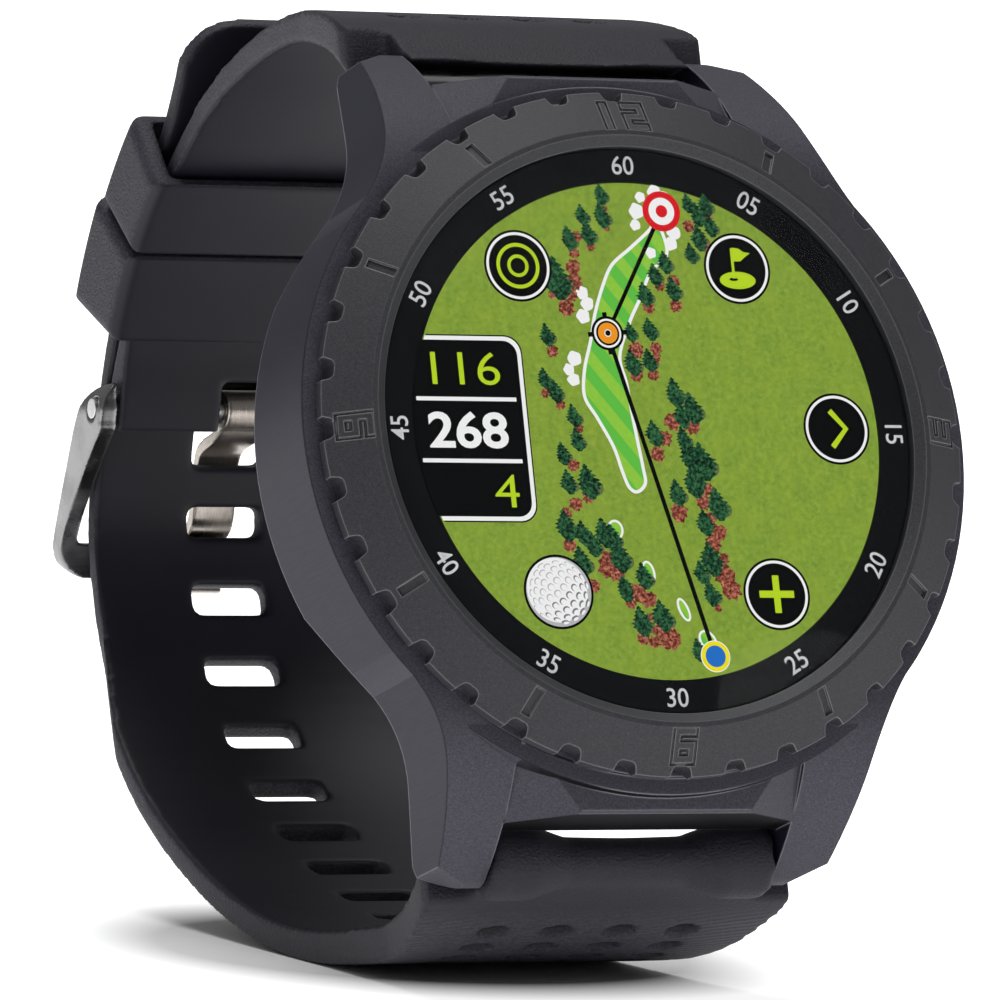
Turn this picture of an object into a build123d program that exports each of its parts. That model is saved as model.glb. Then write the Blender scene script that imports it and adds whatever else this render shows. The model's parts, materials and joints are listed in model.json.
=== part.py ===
from build123d import *
from math import cos, sin, radians, hypot, atan2, degrees
import os

# Golf GPS watch, fastened and standing on its strap.  Millimetres.
# Everything is modelled in the head's own axes: X towards 3 o'clock, Y towards 12 o'clock,
# Z out of the face, with the origin at the centre of the display surface.  At the end the
# whole watch is turned so that +Z is up, the face looks to -Y, and the strap stands on Z = 0.

# --- driving dimensions ---
LEAN = 18.0                 # how far the face tips up from vertical, degrees
DISPLAY_R = 17.6
GLASS_R = 20.0
GLASS_TOP = 0.55
BEZEL_R = 24.3
BEZEL_FOOT = -1.9
CASE_R = 25.2
CASE_TOP = -1.9
CASE_FLOOR = -10.1
BACK_R = 23.2
BACK_FACE = -12.4
CAVITY_R = 20.2
LUG_GAP = 22.0
LUG_TIP_R = 1.75            # lug ends are rounded about the spring bar
BAR = (27.9, -11.1)         # spring bar at 12 o'clock; the other is its mirror image
BAR_R = 0.75
PIN_R = 0.45
BRIDGE_Y = 26.2             # edge of the case between the lugs
FIT = 0.05                  # radial running clearance
NOTCHES = 36
LOOP = (3.0, -36.5)         # centre that the strap curls about
STRAP_HALF = 10.6
SHOULDER_HALF = 14.0
TONGUE_HALF = 10.8
TONGUE_R = 1.65             # strap end about its spring bar, at the middle of its width
TONGUE_SIDE_R = 2.05        # the same at its two sides
TIP_CORNER = 4.0            # rounding of the long strap's free end
SLOT = (6.0, 2.3)
USED_SLOT = (9, 3.6)        # which slot the tang is through, and its stretched length
SLOT_PITCH = 6.1
KEEPER_HALF = 12.6
FRAME_HALF = 12.4
BUCKLE_BAR_R = 0.75
BUTTON_Z = -5.8
BUTTON_SIZE = (9.0, 3.4)
BUTTON_TRAVEL = 0.6
BUTTON_POCKET_X = 24.0       # floor of the button's pocket in the case's flank
SEAL_SHELF_R = 18.4         # inner edge of the shelf under the glass and its gasket

# Strap middle line: angle about LOOP, radius, thickness.
SHORT_STRAP = [(42, 35.95, 2.95), (39, 36.1, 2.75), (30, 35.6, 2.5), (20, 34.9, 2.25), (10, 34.2, 2.15),
               (0, 33.85, 2.05), (-10, 33.85, 1.9), (-20, 34.0, 1.75), (-32, 34.05, 1.7),
               (-44, 34.05, 1.7), (-55, 34.05, 1.8), (-60, 34.05, 2.5), (-65, 34.05, 2.5)]
LONG_STRAP = [(142.5, 39.5, 3.0), (145.5, 39.05, 2.8), (157.5, 36.5, 2.75), (168, 33.6, 2.6),
              (180, 31.5, 2.4), (198, 29.9, 2.1), (215, 29.7, 2.0), (231, 30.8, 1.9), (245, 32.8, 1.8),
              (256, 34.5, 1.7), (269, 36.3, 1.6)]
LONG_TAIL = [(269, 36.3, 1.6), (278, 37.2, 1.55), (283.3, 37.4, 1.55), (290, 36.9, 1.5), (300, 36.45, 1.5),
             (310, 36.3, 1.5), (320, 36.3, 1.5), (326, 36.4, 1.5), (332, 36.75, 1.5), (336, 37.35, 1.5),
             (340, 38.6, 1.4), (346.0, 41.1, 1.3)]
# Half widths of the straps beyond their shoulders: (half width, height Z).
SHORT_EDGE = [(12.3, -24), (11.3, -36), (STRAP_HALF, -50), (STRAP_HALF, -85)]
LONG_EDGE = [(12.3, -24), (11.8, -36), (11.8, -69.5), (STRAP_HALF, -72.7), (STRAP_HALF, -85)]
UPPER_KEEPER = (-27.0, -39.2)
LOWER_KEEPER = (-39.6, -52.4)
KEEPER_SHELL = (32.0, 39.25)
KEEPER_TUNNEL = (32.95, 38.3)
BUCKLE_PIVOT = (34.05, -62.5)
FIRST_SLOT_ANGLE = 283.3


def spot(radius, angle):
    """Point (Y, Z) at a radius and an angle about the strap loop's centre."""
    return (LOOP[0] + radius * cos(radians(angle)), LOOP[1] + radius * sin(radians(angle)))


def ring(outer, inner, bottom, top):
    """Flat ring round the head's axis."""
    return Pos(0, 0, bottom) * extrude(Circle(outer) - Circle(inner), top - bottom)


def disc(radius, bottom, top):
    return Pos(0, 0, bottom) * extrude(Circle(radius), top - bottom)


def block(x, y, z):
    """Box from three (low, high) pairs."""
    size = [high - low for low, high in (x, y, z)]
    middle = [(high + low) / 2 for low, high in (x, y, z)]
    return Pos(*middle) * Box(*size)


def rod(radius, start, end, y, z):
    """Cylinder along X."""
    return Pos((start + end) / 2, y, z) * Rot(0, 90, 0) * Cylinder(radius, end - start)


def tube(outer, inner, start, end, y, z):
    return rod(outer, start, end, y, z) - rod(inner, start, end, y, z)


def side_prism(outline, low, high):
    """Closed outline in (Y, Z), extruded along X from low to high."""
    return Pos(low, 0, 0) * extrude(Plane.YZ * make_face(outline), high - low)


def polygon_outline(points):
    return Polyline(*points, close=True)


def mirrored(shape):
    """The same shape at 6 o'clock."""
    return mirror(shape, Plane.XZ)


# --- case ---
def lug_side():
    """Side outline of the flank and one lug, from the middle of the case to the lug's tip."""
    y, z = BAR
    tip = [(y + LUG_TIP_R * cos(radians(a)), z + LUG_TIP_R * sin(radians(a))) for a in (35, -30, -95)]
    top = Spline((16.0, CASE_TOP), (19.8, -2.2), (24.8, -5.0), (27.3, -7.5), tip[0],
                 tangents=[(1, 0), (0.57, -0.8)])
    nose = ThreePointArc(*tip)
    under = Spline(tip[2], (24.0, -10.7), (20.5, -9.1), (14.0, -9.0), (11.0, CASE_FLOOR))
    close = Polyline((11.0, CASE_FLOOR), (0, CASE_FLOOR), (0, CASE_TOP), (16.0, CASE_TOP))
    return top + nose + under + close


def lug_plan():
    """Plan of one quarter's lug, from the round case out to the lug's end."""
    inner = LUG_GAP / 2
    waist = ThreePointArc((20.1, 15.2), (17.35, 19.2), (16.1, 23.0))
    rest = Polyline((16.1, 23.0), (14.9, 28.6), (inner, 30.2), (inner, 14.0), (20.1, 14.0), (20.1, 15.2))
    return make_face(waist + rest)


def bridge_corner():
    """Wedge that takes a corner of the bridge down to the lug beside it."""
    side = LUG_GAP / 2 + 0.1
    sections = []
    for y, start, top, bottom in ((BRIDGE_Y + 0.2, 6.0, -3.2, -6.4), (21.4, 9.8, -2.6, -3.1)):
        plane = Plane(origin=(0, y, 0), x_dir=(1, 0, 0), z_dir=(0, -1, 0))
        sections.append(plane * make_face(polygon_outline([(start, top), (side, top + 0.3), (side, bottom)])))
    return loft(sections)


def case_body():
    inner = LUG_GAP / 2
    quarter = side_prism(lug_side(), inner, CASE_R + 1)
    side = quarter + mirrored(quarter)
    side += mirror(side, Plane.YZ)
    plan = Circle(CASE_R) + lug_plan()
    plan += mirror(plan, Plane.XZ)
    plan += mirror(plan, Plane.YZ)
    lugs = side & (Pos(0, 0, -14) * extrude(plan, 13))
    half_middle = [(0, CASE_TOP), (21.5, CASE_TOP), (21.5, -2.75), (BRIDGE_Y - 0.2, -3.25), (BRIDGE_Y, -3.5),
                   (BRIDGE_Y, -8.7), (BRIDGE_Y - 0.5, -9.0), (23.6, CASE_FLOOR), (0, CASE_FLOOR)]
    bridge = side_prism(polygon_outline(half_middle), -inner, inner)
    bridge -= bridge_corner() + mirror(bridge_corner(), Plane.YZ)
    body = disc(BACK_R, CASE_FLOOR, CASE_TOP) + lugs + bridge + mirrored(bridge)
    body += disc(CASE_R - 0.02, -6, -2.3) + disc(BEZEL_R - 0.3, CASE_TOP - 1, CASE_TOP)
    body -= disc(GLASS_R + FIT, -0.9, 1)
    body -= disc(SEAL_SHELF_R, -3, 1)
    body -= disc(CAVITY_R, CASE_FLOOR, -2.9)
    body -= ring(21.15, CAVITY_R - 0.1, CASE_FLOOR, CASE_FLOOR + 0.5)
    body -= screw_places(Cylinder(0.62, 5.0), CASE_FLOOR + 2.4)
    for y in (BAR[0], -BAR[0]):
        body -= rod(PIN_R + FIT, -12.6, 12.6, y, BAR[1])
    length, height = BUTTON_SIZE
    body -= block((BUTTON_POCKET_X, 27), (-length / 2 - 0.12, length / 2 + 0.12),
                  (BUTTON_Z - height / 2 - 0.12, BUTTON_Z + height / 2 + 0.12))
    body -= rod(1.0 + FIT, 18, 25, 0, BUTTON_Z)
    body -= rod(1.95, 22.6, 25, 0, BUTTON_Z)
    body -= rod(1.88, 21.2, 22.1, 0, BUTTON_Z)
    return body


def screw_places(shape, z):
    """Four copies at the case back's screw places."""
    places = [(22.0 * cos(radians(a)), 22.0 * sin(radians(a)), z) for a in (40, 140, 220, 320)]
    return Compound([Pos(*place) * shape for place in places])


# --- bezel ---
def digit(segments, size, thickness):
    """Seven-segment style numeral: a b c d e f g, drawn in plan."""
    width, height = size
    x, y = width / 2, height / 2
    bars = {"a": (0, y, 1), "b": (x, y / 2, 0), "c": (x, -y / 2, 0), "d": (0, -y, 1),
            "e": (-x, -y / 2, 0), "f": (-x, y / 2, 0), "g": (0, 0, 1)}
    shape = None
    for name in segments:
        cx, cy, flat = bars[name]
        bar = Rectangle(width + thickness, thickness) if flat else Rectangle(thickness, y + thickness)
        bar = Pos(cx, cy) * bar
        shape = bar if shape is None else shape + bar
    return shape


def outlined_digit(segments):
    size = (1.15, 1.75)
    return digit(segments, size, 0.8) - digit(segments, size, 0.4)


def engraving():
    """Plan of the hour numerals at 12, 3, 6 and 9 and the bars at the other hours."""
    twelve = Pos(-1.6, 0) * outlined_digit("bc") + Pos(1.15, 0) * outlined_digit("abged")
    marks = {90: (0, twelve), 0: (-90, outlined_digit("abgcd")), 180: (90, outlined_digit("abcdfg")),
             270: (0, outlined_digit("acdefg"))}
    plan = None
    for hour in range(12):
        angle = hour * 30
        if angle in marks:
            turn, numeral = marks[angle]
            mark = Rot(0, 0, angle) * Pos(22.3, 0) * Rot(0, 0, turn - angle) * numeral
        else:
            mark = Rot(0, 0, angle) * Pos(22.2, 0) * Rectangle(1.9, 0.7)
        plan = mark if plan is None else plan + mark
    return plan


def bezel():
    inner = GLASS_R + 0.1
    section = Polyline((inner, BEZEL_FOOT), (inner, 0.5), (20.8, 1.0), (21.2, 0.95), (BEZEL_R, -0.7),
                       (BEZEL_R, -1.45), (23.9, BEZEL_FOOT), close=True)
    body = revolve(Plane.XZ * make_face(section), Axis.Z)
    skin = Polyline((21.2, 0.72), (21.2, 1.2), (BEZEL_R, -0.45), (BEZEL_R, -0.93), close=True)
    skin = revolve(Plane.XZ * make_face(skin), Axis.Z)
    body -= (Pos(0, 0, -2) * extrude(engraving(), 4)) & skin
    notch = make_face(Polyline((BEZEL_R + 0.3, -0.95), (BEZEL_R - 0.75, -0.6), (BEZEL_R - 0.75, 0.6),
                               (BEZEL_R + 0.3, 0.95), close=True))
    notch = fillet(notch.vertices().group_by(Axis.X)[0], 0.45)
    cutter = Pos(0, 0, -3) * extrude(notch, 4)
    for count in range(NOTCHES):
        body -= Rot(0, 0, count * 360 / NOTCHES) * cutter
    return body


# --- display, glass and inside ---
def cover_glass():
    return chamfer(disc(GLASS_R, 0, GLASS_TOP).edges().group_by(Axis.Z)[-1], 0.25)


def chassis():
    body = disc(20.1, -3.6, -2.95) + disc(18.3, -2.95, -1.4)
    body += ring(20.1, 19.2, -8.8, -3.6)
    body -= disc(17.4, -3.6, -2.3)
    body -= block((-4.5, 4.5), (-17.2, -15.4), (-4, 0))
    body -= block((15, 22), (-2.6, 2.6), (-8.8, -3.7))
    return body


def main_board():
    body = disc(18.9, -4.6, -3.8)
    body += block((-6, 0), (-6, 0), (-3.8, -2.8)) + block((2, 7), (-8, -3), (-3.8, -3.0))
    return body + block((-12, -8), (3, 9), (-3.8, -2.9)) + block((6, 12), (1, 4), (-3.8, -3.1))


def display_flex():
    riser = block((-4, 4), (-16.5, -16.3), (-3.8, -1.4))
    return riser + block((-4, 4), (-16.3, -13), (-3.8, -3.6))


def case_back():
    section = Polyline((0, BACK_FACE), (18.5, BACK_FACE), (22.2, -11.4), (BACK_R, -10.6), (BACK_R, CASE_FLOOR),
                       (20.0, CASE_FLOOR), (20.0, -9.5), (18.8, -9.5), (18.8, -10.6), (0, -10.6), close=True)
    body = revolve(Plane.XZ * make_face(section), Axis.Z)
    body -= screw_places(Cylinder(0.75, 6), CASE_FLOOR)
    body -= screw_places(Cylinder(1.25, 4), -13.0)
    for x in (-3.6, -1.2, 1.2, 3.6):
        body -= Pos(x, -13, -11.5) * Cylinder(0.8, 4)
    return body


def case_back_screws():
    screw = Pos(0, 0, -10.1) * Cylinder(0.58, 3.6) + Pos(0, 0, -11.3) * Cylinder(1.15, 0.5)
    screw -= Pos(0, 0, -11.5) * Box(1.7, 0.3, 0.4) + Pos(0, 0, -11.5) * Box(0.3, 1.7, 0.4)
    return screw_places(screw, 0)


def charging_contacts():
    return Compound([Pos(x, -13, (BACK_FACE - 10.2) / 2) * Cylinder(0.8, -10.2 - BACK_FACE)
                     for x in (-3.6, -1.2, 1.2, 3.6)])


# --- button ---
def button_cap():
    length, height = BUTTON_SIZE
    inner = BUTTON_POCKET_X + BUTTON_TRAVEL + 0.15
    cap = block((inner, 25.9), (-length / 2, length / 2), (BUTTON_Z - height / 2, BUTTON_Z + height / 2))
    cap = fillet(cap.edges().filter_by(Axis.X), 0.9)
    cap = fillet(cap.faces().sort_by(Axis.X)[-1].edges(), 0.4)
    return cap - rod(1.0, 24, 25.2, 0, BUTTON_Z)


def coil(radius, wire, start, end, turns, y, z):
    """Compression spring along X."""
    path = Helix((end - start - 2 * wire) / turns, end - start - 2 * wire, radius)
    turn = sweep(Plane(path @ 0, z_dir=path % 0) * Circle(wire), path)
    return Pos(start + wire, y, z) * Rot(0, 90, 0) * turn


# --- straps ---
def band_points(stations, side):
    """Points half a thickness to one side of the strap's middle line."""
    centres = [spot(r, a) for a, r, _ in stations]
    points = []
    for index, (_, _, thickness) in enumerate(stations):
        before = centres[max(index - 1, 0)]
        after = centres[min(index + 1, len(centres) - 1)]
        along = (after[0] - before[0], after[1] - before[1])
        size = hypot(*along)
        normal = (-along[1] / size, along[0] / size)
        offset = side * thickness / 2
        points.append((centres[index][0] + normal[0] * offset, centres[index][1] + normal[1] * offset))
    return points


def strap_band(stations, half):
    """Curved strap of one width, drawn in side view."""
    left = band_points(stations, 1)
    right = band_points(stations, -1)
    outline = Spline(*left) + Line(left[-1], right[-1]) + Spline(*right[::-1]) + Line(right[0], left[0])
    return side_prism(outline, -half, half)


def shoulder_cut(edge):
    """Plan limits of a strap: narrow tongue, wide shoulders, then its edge."""
    outline = [(TONGUE_HALF, 0), (TONGUE_HALF, -13.1), (SHOULDER_HALF - 0.2, -13.1), (SHOULDER_HALF, -14.2)]
    outline += edge
    outline += [(-x, z) for x, z in outline[::-1]]
    return extrude(Plane.XZ * make_face(polygon_outline(outline)), 60, both=True)


def tongue(y, first):
    """Rounded strap end on its spring bar, reaching to the strap's first station."""
    left, right = band_points(first, 1)[0], band_points(first, -1)[0]
    z = BAR[1]
    aim = atan2(spot(first[0][1], first[0][0])[1] - z, spot(first[0][1], first[0][0])[0] - y)
    across = (-sin(aim) * TONGUE_R, cos(aim) * TONGUE_R)
    corners = [(y + across[0], z + across[1]), (y - across[0], z - across[1])]
    ends = sorted([left, right], key=lambda p: hypot(p[0] - corners[1][0], p[1] - corners[1][1]))
    web = side_prism(polygon_outline([corners[0], corners[1], ends[0], ends[1]]), -TONGUE_HALF, TONGUE_HALF)
    barrel = [(0, TONGUE_R), (4.5, TONGUE_R + 0.1), (7.0, TONGUE_SIDE_R), (TONGUE_HALF, TONGUE_SIDE_R),
              (TONGUE_HALF, 0)]
    barrel += [(-x, r) for x, r in barrel[:0:-1]]
    return web + Pos(0, y, z) * revolve(make_face(polygon_outline(barrel)), Axis.X)


def lug_relief(y):
    """Room for the lug tips, so the strap's shoulders turn round them."""
    inner = TONGUE_HALF
    wide = rod(LUG_TIP_R + 0.4, inner, 16, y, BAR[1])
    return wide + mirror(wide, Plane.YZ)


def short_strap():
    body = strap_band(SHORT_STRAP, 15) & shoulder_cut(SHORT_EDGE)
    body += tongue(BAR[0], SHORT_STRAP[:2])
    body -= lug_relief(BAR[0])
    mouth = BAR_R + 0.25
    body -= rod(mouth, -12, 12, *BAR)
    body -= block((-12, 12), (BAR[0] - mouth, BAR[0] + mouth), (BAR[1], 0))
    body -= rod(BUCKLE_BAR_R, -12, 12, *spot(*BUCKLE_PIVOT))
    notch_y, notch_z = spot(*BUCKLE_PIVOT)
    notch = Pos(0, notch_y, notch_z) * Rot(BUCKLE_PIVOT[1], 0, 0) * Box(4.8, 8, 4.6)
    return body - notch


def slot_angles():
    """Angles of the strap slots, one pitch apart along the strap, from the first."""
    angles = [FIRST_SLOT_ANGLE]
    for step, count in ((-1, 8), (1, 3)):
        angle = FIRST_SLOT_ANGLE
        for _ in range(count):
            angle += step * degrees(SLOT_PITCH / strap_radius(angle + step * 4))
            angles.append(angle)
    return angles


def strap_radius(angle):
    """Middle-line radius of the long strap, between its stations."""
    line = LONG_STRAP + LONG_TAIL[1:]
    for (a0, r0, _), (a1, r1, _) in zip(line, line[1:]):
        if a0 <= angle <= a1:
            return r0 + (r1 - r0) * (angle - a0) / (a1 - a0)
    return line[-1][1]


def slot_cutter(angle, length):
    y, z = spot(strap_radius(angle), angle)
    ahead = spot(strap_radius(angle + 2), angle + 2)
    behind = spot(strap_radius(angle - 2), angle - 2)
    tilt = degrees(atan2(ahead[1] - behind[1], ahead[0] - behind[0]))
    cutter = extrude(RectangleRounded(SLOT[0], length, 0.6), 3, both=True)
    return Pos(0, y, z) * Rot(tilt, 0, 0) * cutter


def long_strap():
    body = strap_band(LONG_STRAP, 15) & shoulder_cut(LONG_EDGE)
    tail = strap_band(LONG_TAIL, STRAP_HALF)
    tip = tail.faces().sort_by_distance((0, *spot(LONG_TAIL[-1][1], LONG_TAIL[-1][0])))[0]
    body += fillet(tip.edges().filter_by(Axis.X, reverse=True), TIP_CORNER)
    body += tongue(-BAR[0], LONG_STRAP[:2])
    body -= lug_relief(-BAR[0])
    body -= rod(BAR_R + FIT, -12, 12, -BAR[0], BAR[1])
    for count, angle in enumerate(slot_angles()):
        body -= slot_cutter(angle, USED_SLOT[1] if count == USED_SLOT[0] else SLOT[1])
    return body


def sector(radii, angles, half):
    """Piece of a curved band about the loop's centre."""
    (inner, outer), (start, end) = radii, angles
    middle = (start + end) / 2
    outline = ThreePointArc(spot(inner, start), spot(inner, middle), spot(inner, end))
    outline += Line(spot(inner, end), spot(outer, end))
    outline += ThreePointArc(spot(outer, end), spot(outer, middle), spot(outer, start))
    outline += Line(spot(outer, start), spot(inner, start))
    return side_prism(outline, -half, half)


def keeper(span, shell):
    """Rubber loop round both straps."""
    start, end = span
    body = sector(shell, (start, end), KEEPER_HALF)
    body = fillet(body.edges().filter_by(lambda e: 4 < e.length < 15), 1.0)
    return body - sector(KEEPER_TUNNEL, (start + 2, end - 2), STRAP_HALF + 0.4)


# --- buckle ---
def buckle_frame():
    outer = [spot(r, a) for r, a in ((33.0, -58.5), (36.3, -62.5), (37.7, -68.0), (38.9, -73.0), (40.4, -78.0),
                                     (41.1, -81.0))]
    inner = [spot(r, a) for r, a in ((39.8, -83.0), (39.1, -79.0), (36.3, -73.3), (34.0, -68.4), (32.3, -64.5))]
    outline = Spline(*outer) + Line(outer[-1], inner[0]) + Spline(*inner) + Line(inner[-1], outer[0])
    body = side_prism(outline, -FRAME_HALF, FRAME_HALF)
    body += rod(1.7, -FRAME_HALF, FRAME_HALF, *spot(*BUCKLE_PIVOT))
    window = [spot(28, -50), spot(44, -50), spot(44, -79.0), spot(28, -79.0)]
    body -= side_prism(polygon_outline(window), -STRAP_HALF - 0.35, STRAP_HALF + 0.35)
    plan = Plane.XZ * (Pos(0, 0.85) * RectangleRounded(2 * FRAME_HALF, 15.5, 2.8))
    body &= Pos(0, *LOOP) * Rot(-73, 0, 0) * extrude(plan, 60, both=True)
    return body - rod(BUCKLE_BAR_R + FIT, -14, 14, *spot(*BUCKLE_PIVOT))


def buckle_tang():
    line = [(-64.2, 34.3, 0.9), (-65.8, 35.0, 0.9), (-67.2, 36.5, 0.9), (-68.6, 38.0, 0.9), (-71.0, 38.6, 0.9),
            (-74.5, 38.9, 0.9), (-77.2, 39.6, 0.9), (-79.0, 41.4, 0.9), (-81.5, 41.9, 0.85), (-84.0, 41.75, 0.8)]
    body = strap_band(line, 1.7)
    body += rod(1.5, -1.9, 1.9, *spot(*BUCKLE_PIVOT))
    return body - rod(BUCKLE_BAR_R + FIT, -3, 3, *spot(*BUCKLE_PIVOT))


# --- spring bars ---
def bar_tube(y):
    body = rod(BAR_R, -9.6, 9.6, y, BAR[1]) - rod(PIN_R + 0.15, -9.1, 9.1, y, BAR[1])
    return body - rod(PIN_R + FIT, -10, 10, y, BAR[1])


def bar_pin(y, side):
    pin = rod(PIN_R, 6.6, 12.4, y, BAR[1]) + rod(PIN_R + 0.1, 6.6, 8.9, y, BAR[1])
    return pin if side > 0 else mirror(pin, Plane.YZ)


def build_nodes():
    nodes = {
        "case_body": case_body(),
        "bezel": bezel(),
        "cover_glass": cover_glass(),
        "minute_ring": ring(GLASS_R, DISPLAY_R + FIT, -0.35, 0),
        "display_panel": disc(DISPLAY_R, -1.4, 0),
        "glass_gasket": ring(GLASS_R, 18.5, -0.9, -0.35),
        "chassis": chassis(),
        "main_board": main_board(),
        "battery": block((-11, 11), (-13, 10), (-8.7, -4.9)),
        "gps_antenna": block((-5, 5), (6, 16), (-3.8, -2.4)),
        "vibration_motor": Pos(-15.2, 0, -6.4) * Cylinder(3.6, 2.8),
        "display_flex": display_flex(),
        "case_back": case_back(),
        "back_gasket": ring(21.1, 20.25, CASE_FLOOR, CASE_FLOOR + 0.48),
        "case_back_screws": case_back_screws(),
        "charging_contacts": charging_contacts(),
        "button_cap": button_cap(),
        "button_stem": rod(1.0, 18.6, 25.2, 0, BUTTON_Z) - tube(1.1, 0.8, 19.55, 20.0, 0, BUTTON_Z),
        "button_clip": tube(1.6, 0.8, 19.57, 19.98, 0, BUTTON_Z),
        "button_seal": Pos(21.65, 0, BUTTON_Z) * Rot(0, 90, 0) * Torus(1.44, 0.42),
        "button_spring": coil(1.5, 0.16, 22.65, 24.1, 3, 0, BUTTON_Z),
        "tactile_switch": block((14.6, 17.3), (-2.2, 2.2), (-7.6, -4.6)) + rod(0.9, 17.3, 17.95, 0, BUTTON_Z),
        "short_strap": short_strap(),
        "long_strap": long_strap(),
        "sliding_keeper": keeper(UPPER_KEEPER, KEEPER_SHELL),
        "fixed_keeper": keeper(LOWER_KEEPER, (KEEPER_SHELL[0], KEEPER_SHELL[1] + 0.9)),
        "buckle_frame": buckle_frame(),
        "buckle_tang": buckle_tang(),
        "buckle_bar": rod(BUCKLE_BAR_R, -FRAME_HALF, FRAME_HALF, *spot(*BUCKLE_PIVOT)),
    }
    for name, y in (("top", BAR[0]), ("bottom", -BAR[0])):
        nodes[name + "_bar_tube"] = bar_tube(y)
        nodes[name + "_bar_spring"] = coil(0.42, 0.12, -5.0, 5.0, 12, y, BAR[1])
        nodes[name + "_bar_pin_left"] = bar_pin(y, -1)
        nodes[name + "_bar_pin_right"] = bar_pin(y, 1)
    return nodes


def standing(nodes):
    """Turn the watch upright and put the middle of its footprint at the origin."""
    turned = {name: Rot(90 - LEAN, 0, 0) * shape for name, shape in nodes.items()}
    boxes = [shape.bounding_box() for shape in turned.values()]
    low = [min(getattr(box.min, axis) for box in boxes) for axis in "XYZ"]
    high = [max(getattr(box.max, axis) for box in boxes) for axis in "XYZ"]
    shift = Pos(-(low[0] + high[0]) / 2, -(low[1] + high[1]) / 2, -low[2])
    return {name: shift * shape for name, shape in turned.items()}, shift * Rot(90 - LEAN, 0, 0)


PLACED, HEAD_PLACE = standing(build_nodes())
os.makedirs("parts", exist_ok=True)
for node_name, node_shape in PLACED.items():
    export_step(node_shape, "parts/" + node_name + ".step")
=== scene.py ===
"""Looks of the golf GPS watch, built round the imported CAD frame.  Metres; head shapes are drawn in mm."""
import json
import math
import random

import bpy
import numpy as np
from mathutils import Matrix, Vector


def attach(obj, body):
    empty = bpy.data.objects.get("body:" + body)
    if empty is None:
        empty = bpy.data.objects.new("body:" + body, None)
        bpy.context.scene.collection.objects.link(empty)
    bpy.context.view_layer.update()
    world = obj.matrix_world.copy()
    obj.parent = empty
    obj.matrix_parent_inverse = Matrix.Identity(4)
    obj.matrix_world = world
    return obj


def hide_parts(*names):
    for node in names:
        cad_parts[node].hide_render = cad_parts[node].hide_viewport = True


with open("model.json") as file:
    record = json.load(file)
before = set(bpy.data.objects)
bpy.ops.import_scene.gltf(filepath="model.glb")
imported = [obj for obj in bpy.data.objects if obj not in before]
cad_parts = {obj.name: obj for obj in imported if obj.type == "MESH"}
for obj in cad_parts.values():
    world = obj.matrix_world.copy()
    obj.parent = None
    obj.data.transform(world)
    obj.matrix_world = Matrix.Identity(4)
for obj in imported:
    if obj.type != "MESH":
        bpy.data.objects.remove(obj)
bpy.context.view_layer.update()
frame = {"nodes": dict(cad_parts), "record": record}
NODES = frame["nodes"]
MM = 0.001

# --- the head's axes: X to 3 o'clock, Y to 12 o'clock, Z out of the face, origin on the display ---
mount = frame["record"]["mounts"][0]
BACK_DEPTH = 12.4 * MM
z_axis = -Vector(mount["axis"]).normalized()
x_axis = Vector((1, 0, 0))
y_axis = z_axis.cross(x_axis)
origin = Vector(mount["pos_m"]) + z_axis * BACK_DEPTH
HEAD = Matrix.Translation(origin) @ Matrix((x_axis, y_axis, z_axis)).transposed().to_4x4()
HEAD_INVERSE = HEAD.inverted()

# --- sizes the looks share with the CAD, in the head's axes, mm ---
LOOP = (3.0, -36.5)             # Y and Z of the line that the strap curls about
BAR = (-27.9, -11.1)            # Y and Z of the spring bar at 6 o'clock
STRAP_REACH = 35.0              # mean radius of the strap, for patterns along it
LUG_INNER = 11.02               # X of the lugs' inner walls
DISPLAY_R = 17.6


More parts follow.
